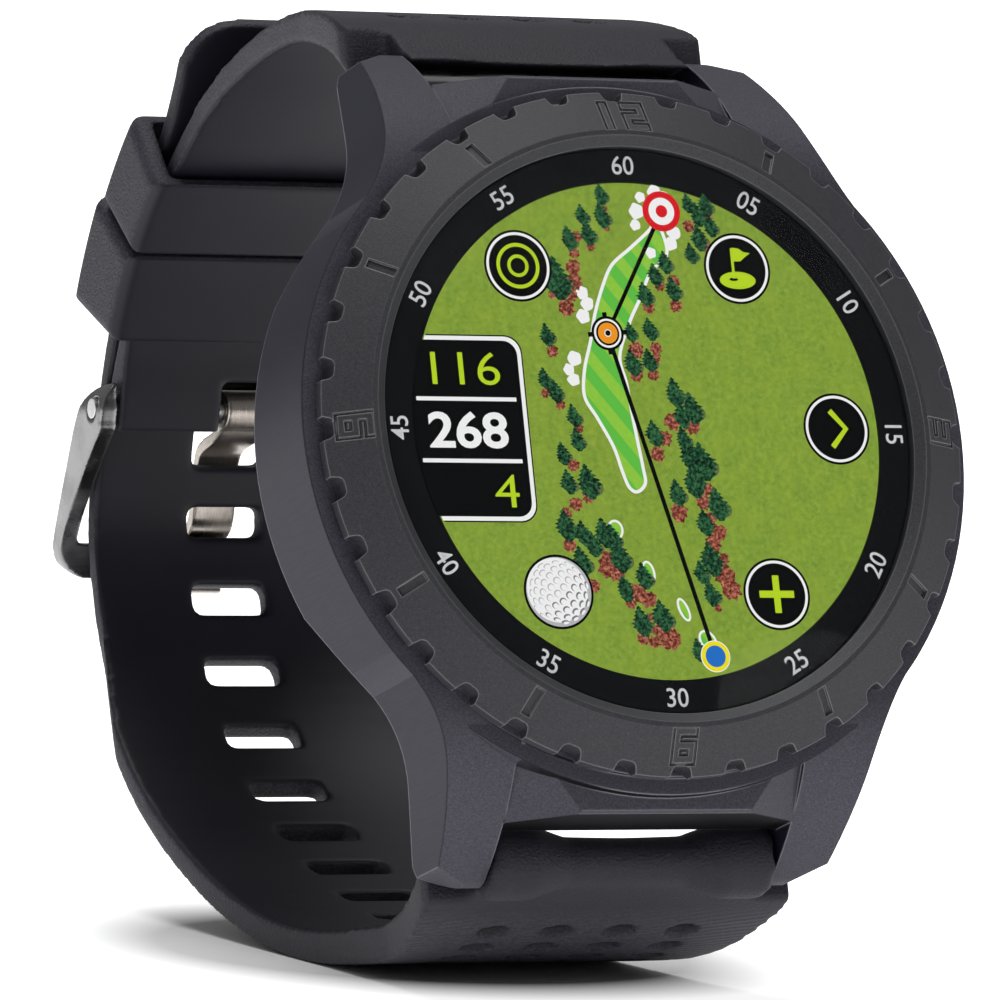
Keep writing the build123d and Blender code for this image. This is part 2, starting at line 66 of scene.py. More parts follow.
# --- node trees ---
class Paint:
    """A Principled material whose patterns come from noise in the head's own axes."""

    def __init__(self, name, colour, roughness, **sockets):
        self.material = bpy.data.materials.new(name)
        self.material.use_nodes = True
        self.tree = self.material.node_tree
        self.shader = self.tree.nodes["Principled BSDF"]
        self.place = None
        self.normal = None
        self.set("Base Color", colour)
        self.set("Roughness", roughness)
        for socket, value in sockets.items():
            self.set(socket.replace("_", " "), value)

    def set(self, socket, value):
        if isinstance(value, bpy.types.NodeSocket):
            self.tree.links.new(value, self.shader.inputs[socket])
        elif isinstance(value, tuple):
            self.shader.inputs[socket].default_value = (*value, 1.0)
        else:
            self.shader.inputs[socket].default_value = value

    def node(self, kind, inputs=None, output=0, **settings):
        made = self.tree.nodes.new("ShaderNode" + kind)
        for key, value in settings.items():
            setattr(made, key, value)
        for key, value in (inputs or {}).items():
            if isinstance(value, bpy.types.NodeSocket):
                self.tree.links.new(value, made.inputs[key])
            else:
                made.inputs[key].default_value = value
        return made.outputs[output]

    def where(self):
        """Patterns lie in the head's axes.  A piece's own coordinates are the row's, so they are turned."""
        inputs = {"Vector": self.node("TexCoord", output="Object"),
                  "Location": HEAD_INVERSE.to_translation(), "Rotation": HEAD_INVERSE.to_euler()}
        self.place = self.node("Mapping", inputs)

    def facing(self):
        """The surface's direction in the head's axes."""
        inputs = {"Vector": self.node("TexCoord", output="Normal"), "Rotation": HEAD_INVERSE.to_euler()}
        return self.node("Mapping", inputs, vector_type="VECTOR")

    def stretched(self, scale, turn=(0, 0, 0)):
        return self.node("Mapping", {"Vector": self.place, "Scale": scale, "Rotation": turn})

    def noise(self, per_mm, detail=3.0, rough=0.55, vector=None):
        inputs = {"Vector": vector or self.place, "Scale": per_mm / MM, "Detail": detail, "Roughness": rough}
        return self.node("TexNoise", inputs)

    def cells(self, per_mm):
        return self.node("TexVoronoi", {"Vector": self.place, "Scale": per_mm / MM}, output="Distance")

    def ramp(self, value, *stops):
        made = self.tree.nodes.new("ShaderNodeValToRGB")
        self.tree.links.new(value, made.inputs[0])
        band = made.color_ramp
        while len(band.elements) < len(stops):
            band.elements.new(0.5)
        for element, (position, colour) in zip(band.elements, stops):
            element.position = position
            shade = colour if isinstance(colour, tuple) else (colour,) * 3
            element.color = (*shade, 1.0)
        return made.outputs[0]

    def mix(self, share, low, high):
        """low where share is 0, high where it is 1."""
        made = self.tree.nodes.new("ShaderNodeMix")
        made.data_type = "RGBA"
        for index, value in ((0, share), (6, low), (7, high)):
            if isinstance(value, bpy.types.NodeSocket):
                self.tree.links.new(value, made.inputs[index])
            elif index == 0:
                made.inputs[index].default_value = value
            else:
                colour = value if isinstance(value, tuple) else (value,) * 3
                made.inputs[index].default_value = (*colour, 1.0)
        return made.outputs[2]

    def maths(self, operation, *values):
        made = self.tree.nodes.new("ShaderNodeMath")
        made.operation = operation
        for index, value in enumerate(values):
            if isinstance(value, bpy.types.NodeSocket):
                self.tree.links.new(value, made.inputs[index])
            else:
                made.inputs[index].default_value = value
        return made.outputs[0]

    def axis(self, name, vector=None):
        return self.node("SeparateXYZ", {0: vector or self.place}, output=name)

    def dot(self, one, other):
        return self.node("VectorMath", {0: one, 1: other}, output="Value", operation="DOT_PRODUCT")

    def bump(self, height, depth_mm):
        inputs = {"Height": height, "Distance": depth_mm * MM, "Strength": 1.0}
        if self.normal:
            inputs["Normal"] = self.normal
        self.normal = self.node("Bump", inputs)
        self.set("Normal", self.normal)

    def soften(self, radius_mm):
        """Rounds hard edges for the light, and returns how much of an edge each point is."""
        self.normal = self.node("Bevel", {"Radius": radius_mm * MM}, samples=6)
        self.set("Normal", self.normal)
        same = self.dot(self.normal, self.node("NewGeometry", output="Normal"))
        return self.ramp(self.maths("SUBTRACT", 1.0, same), (0.0, 0.0), (0.22, 1.0))

    def from_loop(self):
        """Y and Z measured from the line that the strap curls about."""
        return [self.maths("SUBTRACT", self.axis(name), middle * MM) for name, middle in zip("YZ", LOOP)]

    def along_strap(self):
        """Coordinates across and along the strap."""
        y, z = self.from_loop()
        along = self.maths("MULTIPLY", self.maths("ARCTAN2", z, y), STRAP_REACH * MM)
        return self.node("CombineXYZ", {0: self.axis("X"), 1: along, 2: 0.0})


def grained(name, colour, light, roughness, grain, depth, edge=None, **sockets):
    """Fine moulded or blasted grain with a slow colour drift, and painted highlights along the edges where
    asked for.
    """
    paint = Paint(name, colour, roughness, **sockets)
    paint.where()
    edge_highlight = paint.soften(edge) if edge else None
    speck = paint.noise(grain, 4.0, 0.7)
    drift = paint.noise(0.09, 2.0)
    tone = paint.mix(paint.ramp(speck, (0.35, 0.0), (0.72, 1.0)), colour, light)
    tone = paint.mix(paint.ramp(drift, (0.3, 0.0), (0.7, 0.35)), tone, light)
    # Painted highlights along the edges.
    if edge_highlight:
        tone = paint.mix(edge_highlight, tone, light)
    paint.set("Base Color", tone)
    paint.set("Roughness", paint.ramp(speck, (0.3, roughness - 0.08), (0.75, roughness + 0.08)))
    paint.bump(speck, depth)
    return paint


CHARCOAL = (0.037, 0.036, 0.048)
CHARCOAL_LIGHT = (0.080, 0.077, 0.096)
FLANK_DARK = (0.010, 0.0095, 0.020)
FLANK_LIGHT = (0.017, 0.016, 0.029)
POCKET_SHADE = (0.003, 0.003, 0.004)
FLANK_EDGE_BLACK = (0.008, 0.008, 0.010)
CASE_EDGE_HIGHLIGHT = (0.25, 0.25, 0.28)

BEZEL_DARK = (0.018, 0.018, 0.023)
BEZEL_LIGHT = (0.046, 0.046, 0.054)
BEZEL_FLECK = (0.13, 0.13, 0.142)
BEZEL_EDGE_HIGHLIGHT = (0.25, 0.25, 0.26)

RUBBER_SHADE = (0.0035, 0.0038, 0.0095)
RUBBER_DARK = (0.013, 0.013, 0.021)
RUBBER_LIGHT = (0.062, 0.062, 0.080)
RUBBER_DRIFT = (0.018, 0.018, 0.023)
PIT_SHADE = (0.002, 0.002, 0.003)
RUBBER_HEIGHT = 40.0            # mm above the loop's line, for fading along the strap
RIB_SLANT = 12                  # degrees
RIBS_PER_MM = 0.62


def case_paint():
    """Blasted grain on the front and lugs; the flanks are smoother with fine upright brush lines."""
    paint = Paint("case_charcoal", CHARCOAL, 0.42, Metallic=0.1, Specular_IOR_Level=0.15)
    paint.where()
    edge_highlight = paint.soften(0.22)
    sideways = paint.maths("ABSOLUTE", paint.axis("X", paint.facing()))
    flank = paint.ramp(sideways, (0.72, 0.0), (0.82, 1.0))
    grain = paint.noise(7.0, 4.0, 0.75)
    lines = paint.noise(11.0, 2.0, vector=paint.stretched((1, 1, 0.04)))
    blasted = paint.mix(paint.ramp(grain, (0.35, 0.0), (0.7, 1.0)), CHARCOAL, CHARCOAL_LIGHT)
    brushed = paint.mix(paint.ramp(lines, (0.35, 0.0), (0.7, 1.0)), FLANK_DARK, FLANK_LIGHT)
    tone = paint.mix(flank, blasted, brushed)
    # Painted shade: the walls between the lugs, which face 12 and 6 o'clock, are painted nearly black.
    endways = paint.maths("ABSOLUTE", paint.axis("Y", paint.facing()))
    between = paint.maths("LESS_THAN", paint.maths("ABSOLUTE", paint.axis("X")), LUG_INNER * MM)
    pocket_shade = paint.maths("MULTIPLY", paint.ramp(endways, (0.85, 0.0), (0.93, 1.0)), between)
    tone = paint.mix(pocket_shade, tone, POCKET_SHADE)
    # Painted highlights make the edges lighter, apart from the edge between flank and front, which is painted
    # nearly black.
    forward = paint.ramp(paint.dot(paint.normal, tuple(z_axis)), (0.12, 0.0), (0.3, 1.0))
    outward = paint.maths("MULTIPLY", paint.axis("X", paint.normal), paint.axis("X"))
    outward = paint.ramp(paint.maths("MULTIPLY", outward, 1 / MM), (0.5, 0.0), (1.0, 1.0))
    flank_edge = paint.maths("MULTIPLY", forward, outward)
    tone = paint.mix(edge_highlight, tone, paint.mix(flank_edge, CASE_EDGE_HIGHLIGHT, FLANK_EDGE_BLACK))
    paint.set("Base Color", tone)
    paint.set("Roughness", paint.mix(flank, 0.48, 0.42))
    paint.bump(paint.maths("MULTIPLY", grain, paint.maths("SUBTRACT", 1.0, flank)), 0.030)
    paint.bump(paint.maths("MULTIPLY", lines, flank), 0.006)
    return paint


def bezel_paint():
    """Speckled dark metal, with painted highlights along the edges of its notches and numerals."""
    paint = Paint("bezel_speckled", CHARCOAL, 0.5, Metallic=0.1, Specular_IOR_Level=0.35)
    paint.where()
    edge_highlight = paint.soften(0.16)
    grain = paint.noise(6.0, 5.0, 0.8)
    fleck = paint.noise(10.0, 2.0, 0.6)
    tone = paint.mix(paint.ramp(grain, (0.36, 0.0), (0.68, 1.0)), BEZEL_DARK, BEZEL_LIGHT)
    tone = paint.mix(paint.ramp(fleck, (0.66, 0.0), (0.76, 0.7)), tone, BEZEL_FLECK)
    # Painted highlights along the edges.
    tone = paint.mix(edge_highlight, tone, BEZEL_EDGE_HIGHLIGHT)
    paint.set("Base Color", tone)
    paint.set("Roughness", paint.ramp(grain, (0.3, 0.42), (0.75, 0.6)))
    paint.bump(grain, 0.035)
    return paint


def rubber_paint(name, ribs):
    """Grained rubber: smooth on the wrist side, and with fine slanting ribs outside where asked for; painted
    shade darkens the wrist side, the part near the lugs and the dimples.
    """
    paint = Paint(name, RUBBER_SHADE, 0.55, Specular_IOR_Level=0.34)
    paint.where()
    y, z = paint.from_loop()
    outward = paint.node("CombineXYZ", {0: 0.0, 1: y, 2: z})
    outward = paint.node("VectorMath", {0: outward}, operation="NORMALIZE")
    turned = paint.dot(paint.facing(), outward)
    inside = paint.ramp(paint.maths("MULTIPLY", turned, -1.0), (0.35, 0.0), (0.7, 1.0))
    outside = paint.maths("SUBTRACT", 1.0, inside)
    grain = paint.noise(4.2, 4.0, 0.7)
    pores = paint.cells(5.0)
    tone = paint.mix(paint.ramp(grain, (0.42, 0.0), (0.75, 1.0)), RUBBER_DARK, RUBBER_LIGHT)
    # Painted shade: near the lugs the rubber is painted darker, and only away from them it has ribs.
    rise = paint.maths("MULTIPLY", z, 1 / (RUBBER_HEIGHT * MM))
    away = paint.ramp(rise, (0.50, 1.0), (0.56, 0.0))
    tone = paint.mix(away, paint.mix(0.7, tone, RUBBER_SHADE), tone)
    # Painted shade: the wrist side, inside the loop, is painted near black.
    tone = paint.mix(inside, tone, RUBBER_SHADE)
    tone = paint.mix(paint.ramp(paint.noise(0.12, 2.0), (0.35, 0.0), (0.7, 0.2)), tone, RUBBER_DRIFT)
    # Painted shade: the dimples are painted near black, the more the deeper they are.
    tone = paint.mix(paint.node("Attribute", output="Fac", attribute_name="pit"), tone, PIT_SHADE)
    paint.set("Base Color", tone)
    paint.set("Roughness", paint.mix(inside, paint.ramp(grain, (0.3, 0.5), (0.7, 0.68)), 0.5))
    rough = paint.maths("ADD", grain, paint.maths("MULTIPLY", pores, 0.5))
    paint.bump(paint.maths("MULTIPLY", rough, outside), 0.07)
    if ribs:
        turn = (0, 0, math.radians(RIB_SLANT))
        slanted = paint.node("Mapping", {"Vector": paint.along_strap(), "Rotation": turn})
        inputs = {"Vector": slanted, "Scale": RIBS_PER_MM / MM, "Distortion": 1.2, "Detail": 2.0,
                  "Detail Scale": 1.5}
        wave = paint.node("TexWave", inputs, output="Fac", bands_direction="Y")
        face_out = paint.ramp(turned, (0.55, 0.0), (0.75, 1.0))
        paint.bump(paint.maths("MULTIPLY", wave, paint.maths("MULTIPLY", away, face_out)), 0.06)
    paint.bump(paint.noise(9.0, 3.0, 0.7), 0.008)
    return paint


STEEL_EDGE_HIGHLIGHT = (0.85, 0.83, 0.80)
LINES_ACROSS = (0.05, 1, 1)     # brush lines along X
LINES_ALONG = (1, 0.08, 0.08)   # brush lines along the tang


def steel_paint(name, tint, lines, roughness):
    """Brushed steel with slow smudges in its gloss, and painted highlights along its edges."""
    paint = Paint(name, tint, roughness, Metallic=1.0)
    paint.where()
    edge_highlight = paint.soften(0.12)
    brushed = paint.noise(14.0, 3.0, 0.6, vector=paint.stretched(lines))
    smudge = paint.noise(0.35, 3.0)
    dull = tuple(0.72 * c for c in tint)
    tone = paint.mix(paint.ramp(brushed, (0.3, 0.0), (0.7, 1.0)), dull, tint)
    # Painted highlights along the edges.
    tone = paint.mix(edge_highlight, tone, STEEL_EDGE_HIGHLIGHT)
    paint.set("Base Color", tone)
    paint.set("Roughness", paint.ramp(smudge, (0.35, roughness - 0.08), (0.7, roughness + 0.14)))
    paint.bump(brushed, 0.008)
    return paint


def display_paint(name):
    """A matt black that shows only the light it gives off itself."""
    paint = Paint(name, (0.002, 0.002, 0.002), 0.5, Specular_IOR_Level=0.0, Emission_Strength=1.0)
    paint.where()
    return paint


def lit(name, colour):
    """A flat colour of the lit display, faintly speckled."""
    paint = display_paint(name)
    speck = paint.ramp(paint.noise(12.0, 2.0), (0.3, 0.0), (0.7, 1.0))
    paint.set("Emission Color", paint.mix(speck, tuple(0.93 * c for c in colour), colour))
    return paint


def lit_pattern(name, stops, per_mm, detail=3.0, rough=0.6, overlay=None):
    """A mottled picture colour on the lit display."""
    paint = display_paint(name)
    tone = paint.ramp(paint.noise(per_mm, detail, rough), *stops)
    paint.set("Emission Color", overlay(paint, tone) if overlay else tone)
    return paint


def turf_patches(paint, tone):
    """Yellower patches and slanting darker streaks."""
    broad = paint.noise(0.55, 3.0, 0.6)
    rows = paint.noise(1.6, 2.0, vector=paint.stretched((1, 0.35, 1), (0, 0, math.radians(28))))
    tone = paint.mix(paint.ramp(broad, (0.35, 0.0), (0.65, 0.5)), tone, (0.30, 0.41, 0.045))
    return paint.mix(paint.ramp(rows, (0.4, 0.0), (0.65, 0.3)), tone, (0.17, 0.28, 0.035))


def mown_stripes(paint, tone):
    """Slanting stripes, as a mower leaves them."""
    slanted = paint.stretched((1, 1, 1), (0, 0, math.radians(-38)))
    wave = paint.node("TexWave", {"Vector": slanted, "Scale": 0.19 / MM}, output="Fac", bands_direction="X")
    return paint.mix(paint.ramp(wave, (0.42, 0.0), (0.58, 1.0)), tone, (0.12, 0.52, 0.06))


# --- thin coloured shapes, stacked in layers on the display and on the minute ring ---
PRINT_STEP = 0.012              # one layer of the picture, mm
PRINT_THICK = 0.8 * PRINT_STEP


def smooth(points, steps=6):
    """A soft closed curve through a few points."""
    count = len(points)
    out = []
    for i in range(count):
        a, b, c, d = (np.array(points[(i + k) % count], float) for k in (-1, 0, 1, 2))
        for s in range(steps):
            t = s / steps
            out.append(tuple(0.5 * (2 * b + (c - a) * t + (2 * a - 5 * b + 4 * c - d) * t ** 2
                                    + (3 * b - a - 3 * c + d) * t ** 3)))
    return out


def oval(centre, radii, turn=0.0, count=40):
    """Points round an ellipse that is turned by this many degrees."""
    c, s = math.cos(math.radians(turn)), math.sin(math.radians(turn))
    ring = []
    for i in range(count):
        a = math.tau * i / count
        x, y = radii[0] * math.cos(a), radii[1] * math.sin(a)
        ring.append((centre[0] + c * x - s * y, centre[1] + s * x + c * y))
    return ring


def clipped(x, edge=DISPLAY_R - 0.02):
    """How far up the round display reaches at x."""
    return math.sqrt(edge ** 2 - x ** 2)


class Print:
    """Coloured shapes a hair thick, gathered into one piece."""

    def __init__(self, name):
        self.name, self.points, self.faces, self.colours, self.paints = name, [], [], [], []

    def colour(self, paint):
        if paint not in self.paints:
            self.paints.append(paint)
        return self.paints.index(paint)

    def add(self, points, faces, paint):
        base = len(self.points)
        self.points += points
        self.faces += [tuple(base + i for i in face) for face in faces]
        self.colours += [self.colour(paint)] * len(faces)

    def slab(self, outline, layer, paint):
        """A thin plate with this outline."""
        n, low = len(outline), layer * PRINT_STEP
        turned = sum(a[0] * b[1] - b[0] * a[1] for a, b in zip(outline, outline[1:] + outline[:1]))
        outline = outline if turned > 0 else outline[::-1]
        points = [(x, y, low) for x, y in outline] + [(x, y, low + PRINT_THICK) for x, y in outline]
        faces = [tuple(range(n, 2 * n)), tuple(range(n - 1, -1, -1))]
        faces += [(i, (i + 1) % n, n + (i + 1) % n, n + i) for i in range(n)]
        self.add(points, faces, paint)

    def hoop(self, outer, inner, layer, paint, closed=True):
        """A band between two lines of as many points."""
        n, low = len(outer), layer * PRINT_STEP
        rows = [(line, level) for level in (low, low + PRINT_THICK) for line in (outer, inner)]
        points = [(x, y, level) for line, level in rows for x, y in line]
        faces = []
        for i in range(n if closed else n - 1):
            j = (i + 1) % n
            faces += [(2 * n + i, 2 * n + j, 3 * n + j, 3 * n + i), (i, n + i, n + j, j),
                      (i, j, 2 * n + j, 2 * n + i), (n + j, n + i, 3 * n + i, 3 * n + j)]
        if not closed:
            e = n - 1
            faces += [(0, 2 * n, 3 * n, n), (e, n + e, 3 * n + e, 2 * n + e)]
        self.add(points, faces, paint)

    def line(self, points, width, layer, paint, closed=False):
        """A stroke of this width through the points."""
        n = len(points)
        left, right = [], []
        for i, point in enumerate(points):
            before = points[(i - 1) % n if closed else max(i - 1, 0)]
            after = points[(i + 1) % n if closed else min(i + 1, n - 1)]
            dx, dy = after[0] - before[0], after[1] - before[1]
            size = math.hypot(dx, dy) or 1.0
            nx, ny = -dy / size * width / 2, dx / size * width / 2
            left.append((point[0] + nx, point[1] + ny))
            right.append((point[0] - nx, point[1] - ny))
        self.hoop(left, right, layer, paint, closed)

    def disc(self, centre, radius, layer, paint, count=64):
        self.slab(oval(centre, (radius, radius), count=count), layer, paint)

    def ring(self, centre, outer, inner, layer, paint):
        rims = [oval(centre, (radius, radius), count=64) for radius in (outer, inner)]
        self.hoop(*rims, layer, paint)

    def text(self, words, size, centre, layer, paint, turn=0.0, weight=0.0, squeeze=1.0):
        curve = bpy.data.curves.new("words", "FONT")
        curve.body, curve.size, curve.offset, curve.resolution_u = words, size, weight, 4
        curve.align_x, curve.align_y = "CENTER", "CENTER"
        curve.extrude = PRINT_THICK / 2
        holder = bpy.data.objects.new("words", curve)
        bpy.context.scene.collection.objects.link(holder)
        bpy.context.view_layer.update()
        mesh = bpy.data.meshes.new_from_object(holder.evaluated_get(bpy.context.evaluated_depsgraph_get()))
        middle = layer * PRINT_STEP + PRINT_THICK / 2
        spin = Matrix.Translation((*centre, middle)) @ Matrix.Rotation(math.radians(turn), 4, "Z")
        spin = spin @ Matrix.Diagonal((squeeze, 1, 1, 1))
        heights = [v.co.y for v in mesh.vertices]
        lift = Vector((0, (max(heights) + min(heights)) / 2, 0))
        points = [tuple(spin @ (v.co - lift)) for v in mesh.vertices]
        self.add(points, [tuple(p.vertices) for p in mesh.polygons], paint)
        bpy.data.objects.remove(holder)
        bpy.data.meshes.remove(mesh)

    def finish(self):
        mesh = bpy.data.meshes.new(self.name)
        mesh.from_pydata([tuple(c * MM for c in p) for p in self.points], [], self.faces)
        for paint in self.paints:
            mesh.materials.append(paint.material)
        mesh.polygons.foreach_set("material_index", self.colours)
        mesh.update()
        settle(mesh, self.name, "watch_head")


def settle(mesh, name, body):
    """An object from a mesh in the head's axes, riding on a body."""
    mesh.transform(HEAD)
    piece = bpy.data.objects.new(name, mesh)
    bpy.context.scene.collection.objects.link(piece)
    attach(piece, body)
    return piece


# --- the course map ---
BLACK = lit("lit_black", (0.002, 0.002, 0.002))
WHITE = lit("lit_white", (0.95, 0.95, 0.95))
LIME = lit("lit_lime", (0.50, 0.72, 0.02))
RED = lit("lit_red", (0.72, 0.012, 0.02))
ORANGE = lit("lit_orange", (0.92, 0.33, 0.02))
YELLOW = lit("lit_yellow", (0.92, 0.80, 0.01))
BLUE = lit("lit_blue", (0.02, 0.17, 0.60))
SHADE = lit("lit_tree_shade", (0.12, 0.17, 0.06))
GREY = lit("lit_ball_shade", (0.22, 0.22, 0.23))
PALE = lit("lit_ball_edge", (0.50, 0.50, 0.52))
TREE = lit_pattern("lit_trees", ((0.40, (0.003, 0.012, 0.006)), (0.50, (0.012, 0.062, 0.028)),
                                 (0.62, (0.045, 0.17, 0.06))), 4.2, 3.0, 0.8)
BUSH = lit_pattern("lit_bushes", ((0.38, (0.07, 0.012, 0.006)), (0.50, (0.24, 0.06, 0.035)),
                                  (0.64, (0.62, 0.22, 0.15))), 4.6, 3.0, 0.8)
FAIRWAY = lit_pattern("lit_fairway", ((0.3, (0.24, 0.56, 0.05)), (0.7, (0.31, 0.60, 0.06))), 3.0,
                      overlay=mown_stripes)
TURF = lit_pattern("lit_turf", ((0.30, (0.13, 0.24, 0.028)), (0.5, (0.22, 0.35, 0.042)),
                                (0.70, (0.31, 0.44, 0.065))), 2.6, 5.0, 0.75, overlay=turf_patches)

# Places on the map are x and y from the display's middle, mm.
FAIRWAY_EDGE = [
    (1.5, 14.2), (-0.1, 12.9), (-1.6, 11.7), (-2.5, 10.1), (-3.3, 8.1), (-3.8, 6.3), (-4.5, 4.2), (-4.7, 2.3),
    (-3.9, 0.8), (-2.9, -1.2), (-2.4, -3.0), (-2.0, -4.1), (-1.4, -4.4), (-0.75, -3.8), (-0.8, -2.7),
    (-1.0, -0.9), (-1.2, 0.9), (-1.4, 3.3), (-1.7, 5.2), (-0.7, 7.6), (0.4, 9.5), (1.3, 11.2), (2.7, 12.5),
    (2.5, 14.2), (2.0, 14.8)]
# Each bunker is a group of lobes: x, y and radius.
BUNKERS = [
    [(1.1, 16.6, 0.42), (0.7, 15.6, 0.60), (0.5, 14.6, 0.42)],
    [(2.2, 17.0, 0.55), (2.9, 16.6, 0.5)],
    [(3.4, 14.1, 0.55), (3.1, 13.3, 0.5)],
    [(1.5, 12.6, 0.42)],
    [(-4.1, 9.7, 0.5), (-3.8, 8.9, 0.52), (-4.2, 8.0, 0.55)],
    [(-5.2, 5.0, 0.55), (-5.7, 4.2, 0.45), (-5.4, 3.5, 0.5)]]
# Each tee is an oval: middle, half sizes and turn in degrees.
TEES = [((-3.4, -7.1), (0.62, 0.72), 0), ((-1.2, -10.1), (0.5, 0.85), 10), ((1.2, -12.7), (0.40, 0.88), 22),
        ((2.8, -14.9), (0.62, 0.85), 35)]
# Each tree is x, y and height.
TREES = [
    (-1.9, 16.7, 1.3), (-3.5, 15.2, 1.3), (-2.0, 15.2, 1.6), (-3.2, 13.9, 1.5), (-4.7, 13.5, 1.5),
    (-5.9, 10.6, 2.6), (-7.1, 6.6, 1.4), (-7.6, 3.5, 1.3), (-6.9, 2.6, 1.4), (-5.7, 0.9, 1.4),
    (-5.6, -0.8, 1.4), (-6.8, -1.8, 1.4), (-6.6, -3.8, 1.5), (-5.1, -3.8, 2.1), (2.5, 11.9, 1.4),
    (1.6, 11.0, 1.4), (2.9, 10.0, 1.5), (0.7, 9.6, 1.5), (-0.7, 6.9, 1.2), (0.8, 7.1, 1.4), (-0.8, 4.7, 1.6),
    (0.5, 4.9, 1.4), (2.2, 2.6, 1.8), (3.4, 1.5, 1.9), (2.6, 1.0, 1.6), (0.3, -0.3, 1.6), (2.5, -0.6, 1.4),
    (2.9, -1.8, 2.0), (3.8, -2.3, 2.3), (3.0, -3.7, 2.0), (1.6, -4.5, 1.6), (4.6, -5.3, 2.0),
    (3.5, -6.6, 1.6), (3.7, -9.2, 2.1), (2.8, -10.1, 1.4), (3.4, -11.6, 1.6), (-7.1, -6.9, 1.9),
    (-5.9, -7.4, 1.5), (-5.2, -8.2, 1.5), (-4.3, -7.4, 1.8), (-3.7, -7.7, 1.6), (-3.3, -9.0, 2.0),
    (-6.2, -9.4, 1.8), (-1.6, -10.4, 1.6), (-3.1, -11.3, 1.6), (-2.1, -13.6, 1.8), (-0.5, -13.2, 1.9),
    (2.0, -15.6, 1.4), (4.7, 16.2, 1.2), (5.4, 15.4, 1.5), (5.3, 13.7, 1.6), (6.1, 16.1, 1.4),
    (6.3, 14.6, 1.4), (4.6, 12.6, 1.3)]
# Each bush is a group of lobes, as a bunker is.
BUSHES = [
    [(-1.7, 15.7, 0.2)], [(-1.7, 14.3, 0.2)], [(-3.1, 13.0, 0.3)], [(-4.1, 13.7, 0.36)],
    [(-4.4, 12.5, 0.35), (-4.6, 11.5, 0.5), (-4.6, 10.5, 0.55), (-4.9, 9.5, 0.4), (-5.4, 8.6, 0.55)],
    [(-6.4, 9.5, 0.28)], [(-6.8, 5.5, 0.4)], [(-7.7, 2.5, 0.3)], [(-6.6, 1.7, 0.34)], [(-5.4, 0.0, 0.32)],
    [(3.0, 10.6, 0.45), (1.9, 10.3, 0.36)], [(3.0, 8.9, 0.45)], [(0.9, 8.7, 0.42)], [(-0.4, 5.7, 0.55)],
    [(1.1, 5.8, 0.40), (1.0, 5.1, 0.36)], [(-0.6, 3.9, 0.45)], [(0.7, 3.9, 0.4)],
    [(1.8, 0.6, 0.55), (1.1, -0.6, 0.5), (0.4, -1.7, 0.5)], [(3.3, 0.3, 0.55)], [(1.6, -5.9, 0.58)],
    [(4.0, -4.2, 0.42), (3.5, -5.1, 0.5), (4.0, -6.2, 0.4), (4.5, -7.2, 0.5), (4.0, -8.0, 0.55),
     (4.6, -9.1, 0.4), (4.6, -10.3, 0.7), (5.0, -11.3, 0.65)],
    [(3.8, -12.6, 0.26)], [(-6.1, -2.6, 0.4)],
    [(-5.2, -4.8, 0.42), (-6.2, -5.3, 0.45), (-7.0, -6.0, 0.4)], [(-7.0, -8.2, 0.45)],
    [(-4.1, -9.6, 0.85), (-3.7, -10.1, 0.6)], [(-5.5, -11.1, 0.45)],
    [(-2.3, -11.6, 0.6), (-1.4, -12.0, 0.55), (-2.8, -12.2, 0.4)],
    [(-1.5, -13.3, 0.3), (-0.8, -14.2, 0.5), (-0.1, -14.8, 0.72)],
    [(-2.1, -14.7, 0.45), (-1.3, -15.0, 0.4)], [(4.6, 14.6, 0.4), (5.9, 13.0, 0.34)], [(6.2, 15.3, 0.3)]]
BALL = (-8.2, -11.5)
BALL_R = 2.44
ICON_R = 2.55


def blob(centre, radius, spikes, rough, rng):
    """A round outline with this many uneven spikes."""
    ring = []
    for i in range(spikes * 2):
        a = math.tau * i / (spikes * 2)
        r = radius * ((1.0 if i % 2 else 1.0 - rough) + rng.uniform(-rough, rough) * 0.5)
        ring.append((centre[0] + r * math.cos(a), centre[1] + r * math.sin(a)))
    return ring


def conifer(x, y, height, rng):
    """A leafy outline, pointed at the top and leaning a little."""
    left, right = [], []
    rows = 7
    for i in range(rows + 1):
        t = i / rows
        half = height * 0.47 * math.sin(math.pi * min(1.0, 0.12 + 0.80 * t)) * (0.55 + 0.6 * t)
        level = y + height * (0.55 - t)
        lean = -0.16 * height * (0.5 - t)
        out_l, out_r = half * rng.uniform(0.9, 1.25), half * rng.uniform(0.9, 1.25)
        for side, out in ((left, -out_l), (right, out_r)):
            side.append((x + lean + out, level - 0.03 * height))
            side.append((x + lean + out * 0.68, level - 0.09 * height))
    tip = [(x - 0.1 * height, y + height * 0.62)]
    return tip + right + left[::-1]


def course_map():
    """Tees, fairway, bunkers, tree shadows, bushes and trees, from the lowest layer up."""
    rng = random.Random(7)
    sheet = Print("course_map")
    for (x, y), (a, b), turn in TEES:
        sheet.slab(oval((x, y), (a, b), turn), 1, WHITE)
        sheet.slab(oval((x, y), (a - 0.17, b - 0.17), turn), 2, FAIRWAY)
    edge = smooth(FAIRWAY_EDGE)
    sheet.slab(edge, 1, FAIRWAY)
    sheet.line(edge, 0.24, 2, WHITE, closed=True)
    for lobes in BUNKERS:
        for k, (x, y, r) in enumerate(lobes):
            sheet.slab(smooth(blob((x, y), r, 5, 0.12, rng), steps=3), 3 + 0.05 * k, WHITE)
    for k, (x, y, h) in enumerate(TREES):
        shadow = oval((x + 0.24 * h, y - 0.18 * h), (0.30 * h, 0.27 * h), count=16)
        sheet.slab(shadow, 2.2 + 0.01 * k, SHADE)
    for k, lobes in enumerate(BUSHES):
        for n, (x, y, r) in enumerate(lobes):
            sheet.slab(blob((x, y), r * 1.25, 8, 0.22, rng), 4 + 0.01 * k + 0.1 * n, BUSH)
    for k, (x, y, h) in enumerate(TREES):
        sheet.slab(conifer(x, y, h * 1.05, rng), 5 + 0.012 * k, TREE)
    sheet.finish()


